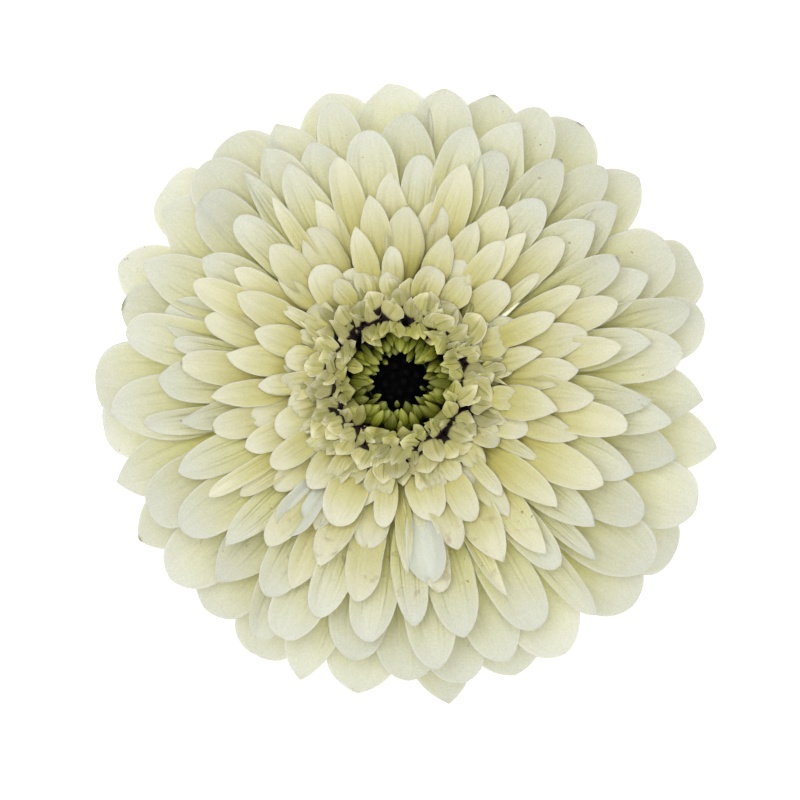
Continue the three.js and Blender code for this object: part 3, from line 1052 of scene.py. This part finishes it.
def crownLobe(i):
    # long florets of the collar's crown: some flop outward over it, others lean in over the disc, and
    # some stand upright with their small limb turned anywhere
    index = firstDraw["crownLobes"] + i
    share = i * goldenShare % 1
    inward = share < crown["inwardShare"]
    upright = share > 1 - crown["uprightShare"]
    kind = crown["inward" if inward else "upright" if upright else "outward"]
    launch = radians(84 + spread(index, 2, 6))
    end = radians(kind["end"] + spread(index, 3, 22))
    length = kind["length"] * (1 + spread(index, 4, 0.2))
    root = kind["root"] + upright * spread(index, 17, crown["uprightStray"])
    top = crown["top"] - upright * crown["uprightDrop"] + spread(index, 10, 0.7)
    return lobe(
        index,
        (i + spread(index, 1, 0.8)) / crown["count"] * 2 * pi,
        bluntest=2.6,
        folds=(0.2, 1.2),
        rootRadius=root + spread(index, 9, 0.4),
        rootHeight=top - climbOf(length, launch, end),
        launch=launch,
        end=end,
        length=length,
        width=kind["width"] * (1 + spread(index, 5, 0.3)),
        claw=0.3,
        widest=mix(0.55, 0.72, draw(index, 22)),
        yaw=radians(kind["facing"] + spread(index, 13, kind["turn"])),
    )


def sliver(i):
    # thin curled ribbons, the odd failed floret between the lobes and the rays
    index = firstDraw["slivers"] + i
    return floret(
        index,
        azimuthOf(index, 12),
        rootRadius=slivers["root"],
        rootHeight=collarBottom + slivers["rise"],
        launch=radians(slivers["launch"] + spread(index, 2, 8)),
        end=radians(slivers["end"] + spread(index, 3, 40)),
        length=slivers["length"] * (1 + spread(index, 4, 0.2)),
        width=slivers["width"] * (1 + spread(index, 5, 0.3)),
        claw=0.6,
        widest=0.5,
        bluntness=1.6,
        fold=spread(index, 14, 0.6),
        sweep=spread(index, 17, 0.5),
    )


collarProfile = [
    (bloom["discRadius"], collarBottom),
    (collarRadius, collarBottom),
    (collarRadius, collarBottom + 4.4),
    (bloom["discRadius"] + 0.9, collarBottom + 5.9),
    (bloom["discRadius"], collarBottom + 5.6),
]
lobeBlade = bladeBlank(lobes["bladeRows"], lobes["bladeColumns"])
growPiece(
    "transFlorets",
    [tierLobe(tier, r, i) for r, tier in enumerate(lobes["tiers"]) for i in range(tier["count"])]
    + [fillLobe(i) for i in range(fill["count"])]
    + [crownLobe(i) for i in range(crown["count"])]
    + [sliver(i) for i in range(slivers["count"])],
    lobeBlade,
    turnedCore("collar", collarProfile),
    lobeFlesh,
    "trans_florets",
    "lobe",
    Thickness=lobes["thickness"],
    Ripple=lobes["ripple"],
    Angular=lobes["angular"],
    Ragged=lobes["ragged"],
)

# disc and eye

discBuds = {
    "count": 48,
    "root": (10.2, 6.8),
    "launch": (82, 88),
    "end": (150, 140),
    "length": (8.8, 6.6),
    "width": 1.66,
    "blankRows": 12,
    "sides": 12,
    "floorInner": 5.9,
    "floorOuter": 11.3,
    "floorThickness": 1.0,
}
lowBuds = {
    "count": 34,
    "root": (11.1, 4.4),
    "launch": (96, 88),
    "end": (166, 140),
    "length": (8.2, 2.6),
    "width": (2.2, 1.2),
}
eyeBuds = {"count": 14, "length": 2.8, "width": 1.8}
discFloor = bloom["firstRingTop"] + bloom["discRise"]

# the near-black root colour is partly the buds' own dark base and partly painted shade low in the bowl
budTint = {
    "Deep": colourOf(22, 20, 10),
    "Body": colourOf(142, 146, 46),
    "Tip": colourOf(174, 178, 88),
    "Vein Colour": colourOf(88, 98, 30),
    "Veins": 0.6,
    "Deep Until": 0.25,
    "Body From": 0.6,
    "Variation": 0.9,
    "Rim Highlight": 0.0,
}
budShader = {"Subsurface Weight": 0.1, "Subsurface Scale": 0.0006, "Roughness": 0.45}
budRelief = {"Vein Height": 0.06, "Vein Count": 4.0}
budFlesh = petalMaterial("budFlesh", budTint, budRelief, budShader, tubesAndShade={"Tube Length": 0.3})
# near black: partly the eye florets' own dark purple and partly painted shade at the bottom of the pit
eyeTint = {
    "Deep": colourOf(3, 2, 3),
    "Body": colourOf(6, 4, 5),
    "Tip": colourOf(12, 8, 9),
    "Vein Colour": colourOf(5, 4, 4),
    "Variation": 0.5,
    "Rim Highlight": 0.0,
}
eyeShader = {"Roughness": 0.85, "Specular IOR Level": 0.1}
eyeFlesh = petalMaterial("eyeFlesh", eyeTint, {"Vein Height": 0.04}, eyeShader)

spindle = budBlank(discBuds["blankRows"], discBuds["sides"])


def bowlRadius(pair, place):
    # equal steps in area, so that buds crowd evenly
    return mix(pair[0] ** 2, pair[1] ** 2, place) ** 0.5


def discBud(i):
    index = rayCount + i
    place = i / (discBuds["count"] - 1)
    return floret(
        index,
        azimuthOf(index, 1.5),
        rootRadius=bowlRadius(discBuds["root"], place),
        rootHeight=discFloor + 0.5,
        launch=radians(mix(*discBuds["launch"], place) + spread(index, 2, 1)),
        end=radians(mix(*discBuds["end"], place) + spread(index, 3, 3)),
        length=mix(*discBuds["length"], place) * (1.16 + spread(index, 4, 0.1) - 0.42 * draw(index, 20)),
        width=discBuds["width"] * (1.05 + spread(index, 5, 0.12) + spread(index, 21, 0.36)),
        claw=0.4,
        clawShare=0.0,
        widest=mix(0.55, 0.8, draw(index, 22)),
        bluntness=2.0,
        sweep=spread(index, 8, 0.05),
    )


def lowBud(i):
    # shorter buds that fill the bowl between the tall ones and the collar
    index = firstDraw["lowBuds"] + i
    place = i / lowBuds["count"]
    return floret(
        index,
        azimuthOf(index, 6),
        rootRadius=bowlRadius(lowBuds["root"], place),
        rootHeight=discFloor + 0.4,
        launch=radians(mix(*lowBuds["launch"], place) + spread(index, 2, 5)),
        end=radians(mix(*lowBuds["end"], place) + spread(index, 3, 8)),
        length=mix(*lowBuds["length"], place) * (1 + spread(index, 4, 0.2)),
        width=mix(*lowBuds["width"], place) * (1 + spread(index, 5, 0.2)),
        claw=0.5,
        clawShare=0.0,
        widest=0.62,
        bluntness=2.0,
        sweep=spread(index, 8, 0.1),
    )


discRing = ringProfile(
    discBuds["floorInner"], discBuds["floorOuter"], discFloor, discFloor + discBuds["floorThickness"]
)
growPiece(
    "discFlorets",
    [discBud(i) for i in range(discBuds["count"])] + [lowBud(i) for i in range(lowBuds["count"])],
    spindle,
    turnedCore("discCore", discRing),
    budFlesh,
    "disc_florets",
    "bud",
    Roundness=1.0,
)


def eyeBud(i):
    index = firstDraw["eyeBuds"] + i
    share = ((i + 0.6) / eyeBuds["count"]) ** 0.5
    return floret(
        index,
        i * radians(bloom["goldenAngle"]),
        rootRadius=(bloom["eyeRadius"] - 1) * share,
        rootHeight=discFloor + 1.3 - 0.7 * share * share,
        launch=radians(86),
        end=radians(100 + spread(index, 3, 6)),
        length=eyeBuds["length"],
        width=eyeBuds["width"],
        claw=0.6,
        clawShare=0.0,
        widest=0.6,
        bluntness=2.0,
    )


# the dome under the buds
eyeRise = [(0, 0), (bloom["eyeRadius"], 0), (5.4, 0.9), (3.36, 1.6), (0, 1.9)]
growPiece(
    "eyeFlorets",
    [eyeBud(i) for i in range(eyeBuds["count"])],
    spindle,
    turnedCore("eyeDome", [(radius, discFloor + rise) for radius, rise in eyeRise]),
    eyeFlesh,
    "eye_florets",
    "eye",
    Roundness=1.0,
)

# head and bracts

bracts = {
    "proud": 0.35,
    "thickness": 0.5,
    "rows": [
        {"count": 16, "root": 7.2, "height": 0.85, "length": 8.8, "launch": 16, "end": 38, "width": 4.2},
        {"count": 20, "root": 12.2, "height": 3.0, "length": 7.7, "launch": 28, "end": 45, "width": 4.6},
        {"count": 22, "root": 4.6, "height": 0.4, "length": 6.4, "launch": 4, "end": 30, "width": 2.3},
        {"count": 28, "root": 9.8, "height": 1.75, "length": 7.4, "launch": 20, "end": 40, "width": 2.6},
    ],
}
bractTint = {
    "Deep": colourOf(84, 110, 48),
    "Body": colourOf(112, 142, 66),
    "Tip": colourOf(126, 104, 84),
    "Vein Colour": colourOf(152, 172, 104),
    "Veins": 0.5,
    "Midrib": 0.7,
    "Rim Highlight": 0.5,
    "Deep Until": 0.1,
    "Body From": 0.5,
}
bractShader = {"Subsurface Weight": 0.1, "Subsurface Scale": 0.0006}
bractFlesh = petalMaterial("bractFlesh", bractTint, {"Vein Height": 0.08}, bractShader)


def bract(row, r, i):
    index = firstDraw["bracts"] + 100 * r + i
    return floret(
        index,
        (i + 0.5 * (r % 2)) / row["count"] * 2 * pi + radians(spread(index, 1, 2)),
        rootRadius=row["root"],
        rootHeight=bloom["headBottom"] + row["height"] - bracts["proud"],
        launch=radians(row["launch"]),
        end=radians(row["end"] - 3 * draw(index, 3)),
        length=row["length"] * (1 + spread(index, 4, 0.03)),
        width=row["width"] * (1 + spread(index, 5, 0.12)),
        claw=0.75,
        widest=0.3,
        bluntness=1.35,
        cup=0.12,
        fold=0.1,
        sweep=spread(index, 8, 0.02),
    )


downTint = {**dict.fromkeys(("Deep", "Body", "Tip"), colourOf(214, 220, 186)), "Veins": 0.0, "Mottle": 0.4}
downRelief = {"Vein Height": 0.0, "Crease Depth": 0.0}
downFlesh = petalMaterial("downFlesh", downTint, downRelief, {"Roughness": 0.45})
down = {
    "Hair": hairBlank(),
    "Down": downFlesh,
    "Per Square Metre": 900000.0,
    "Length": 0.0009,
    "Lean": 0.6,
    "Highest Facing": -0.25,
    "Lowest Facing": -1.1,
}

low = bloom["headBottom"]
headProfile = [
    (0, low), (4.3, low), (8.2, low + 1.1), (12.6, low + 3.2), (16.2, low + 5.7),
    (18.4, 13.3), (11.3, 13.3), (11.3, 21.2), (0, 21.2),
]
growPiece(
    "head",
    [bract(row, r, i) for r, row in enumerate(bracts["rows"]) for i in range(row["count"])],
    blade,
    turnedCore("headCore", headProfile),
    bractFlesh,
    "receptacle_and_bracts",
    "bract",
    down=down,
    Thickness=bracts["thickness"],
)

# stem

stem = {
    "lowRadius": 3.5,
    "radius": 3.6,
    "flare": 0.5,
    "ribs": 10,
    "ribHeight": 0.14,
    "sides": 120,
    "rows": 14,
    "hairs": {"Per Square Metre": 4500000.0, "Highest Facing": 0.5, "Lowest Facing": -0.5},
}
stemTint = {**dict.fromkeys(("Deep", "Body", "Tip"), colourOf(120, 146, 72)), "Veins": 0.0, "Mottle": 0.3}
stemRelief = {"Vein Height": 0.0, "Crease Depth": 0.0, "Ridge": 0.0, "Grain": 0.04, "Grain Size": 1800.0}
stemFlesh = petalMaterial("stemFlesh", stemTint, stemRelief, {})


def cutFleshMaterial():
    # the wet end of the stem: a pale pith inside a ring of darker strands, under a green skin
    shader = {"Roughness": 0.35, "Subsurface Weight": 0.15, "Subsurface Scale": 0.0008}
    material, tree, skin = newMaterial("cutStemFlesh", shader)
    place = objectPlace(tree)
    distance = fromAxis(tree)[1]
    cells = noiseField(tree, place, 2600.0, 3.0)
    strands = (noiseField(tree, place, 1100.0, 1.0) + 0.5).rise(0.48, 0.6)
    strands = strands * distance.rise(1.7, 2.2) * (1 - distance.rise(2.6, 3.0))
    green = (distance + cells * 0.5).rise(2.7, 3.3)
    colour = blendColour(tree, green, colourOf(204, 210, 158), colourOf(110, 138, 66))
    colour = blendColour(tree, strands, colour, colourOf(120, 128, 70))
    tree.links.new(colour, skin.inputs["Base Color"])
    bumped(tree, skin, cells * 0.06 - strands * 0.05)
    return material


def growStem():
    low, high = stemLow.z / mm, stemHigh.z / mm
    n = stem["sides"]
    vertices, faces = [], list(bands(stem["rows"], n))
    for i in range(stem["rows"] + 1):
        rise = i / stem["rows"]
        radius = mix(stem["lowRadius"], stem["radius"], min(rise / 0.6, 1))
        radius = radius + stem["flare"] * smooth(rise, 0.55, 1)
        for k in range(n):
            a = 2 * pi * k / n
            r = (radius + stem["ribHeight"] * cos(stem["ribs"] * a)) * mm
            vertices.append((axis.x + r * cos(a), axis.y + r * sin(a), mix(low, high, rise) * mm))
    faces.append(tuple(reversed(range(n))))
    faces.append(tuple(range(stem["rows"] * n, (stem["rows"] + 1) * n)))
    piece = meshObject("stem", vertices, faces)
    piece.data.materials.append(stemFlesh)
    piece.data.materials.append(cutFleshMaterial())
    for face in piece.data.polygons[:-2]:
        face.use_smooth = True
    piece.data.polygons[-2].material_index = 1
    coverInDown(piece, {**down, **stem["hairs"]})
    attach(piece, "root")
    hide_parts("stem_stub")


growStem()
for helper in (blade, lobeBlade, spindle, down["Hair"]):
    bpy.data.objects.remove(helper)
print("head and stem made")

# light, floor and camera

studio = {
    "frameWidth": 0.1535,
    "lensDistance": 1.0,
    "cameraHeight": 1.01,
    "centre": (-0.00155, -0.00060),
    "worldLight": 0.445,
    "key": {"spot": (-0.2, 0.12, 1.0), "size": 0.8, "power": 4.75},
    "fill": {"spot": (0.4, -0.3, 0.9), "size": 0.9, "power": 1.0},
    "floorGlow": 0.52,
    "floorHalf": 2,
}


def stageFloor():
    shader = {
        "Roughness": 0.7,
        "Specular IOR Level": 0.2,
        "Base Color": (0.94, 0.94, 0.94, 1),
        "Emission Color": (1.0, 1.0, 1.0, 1),
        "Emission Strength": studio["floorGlow"],
    }
    half = studio["floorHalf"]
    floor = meshObject(
        "floor", [(-half, -half, 0), (half, -half, 0), (half, half, 0), (-half, half, 0)], [(0, 1, 2, 3)]
    )
    floor.data.materials.append(newMaterial("paleFloor", shader)[0])


def softLight(name, spot, size, power):
    light = bpy.data.lights.new(name, "AREA")
    light.shape = "DISK"
    light.size = size
    light.energy = power
    lamp = addObject(name, light)
    lamp.location = spot
    lamp.rotation_euler = (-Vector(spot)).to_track_quat("-Z", "Y").to_euler()


stageFloor()
for name in ("key", "fill"):
    softLight(name, **studio[name])
world = bpy.data.worlds.new("studioAir")
world.use_nodes = True
air = world.node_tree.nodes["Background"]
air.inputs["Color"].default_value = (1.0, 1.0, 1.0, 1)
air.inputs["Strength"].default_value = studio["worldLight"]
bpy.context.scene.world = world
bpy.context.scene.view_settings.view_transform = "Standard"

lens = bpy.data.cameras.new("camera")
lens.lens = lens.sensor_width * studio["lensDistance"] / studio["frameWidth"]
camera = addObject("camera", lens)
camera.location = (*studio["centre"], studio["cameraHeight"])
bpy.context.scene.camera = camera
print("studio ready")
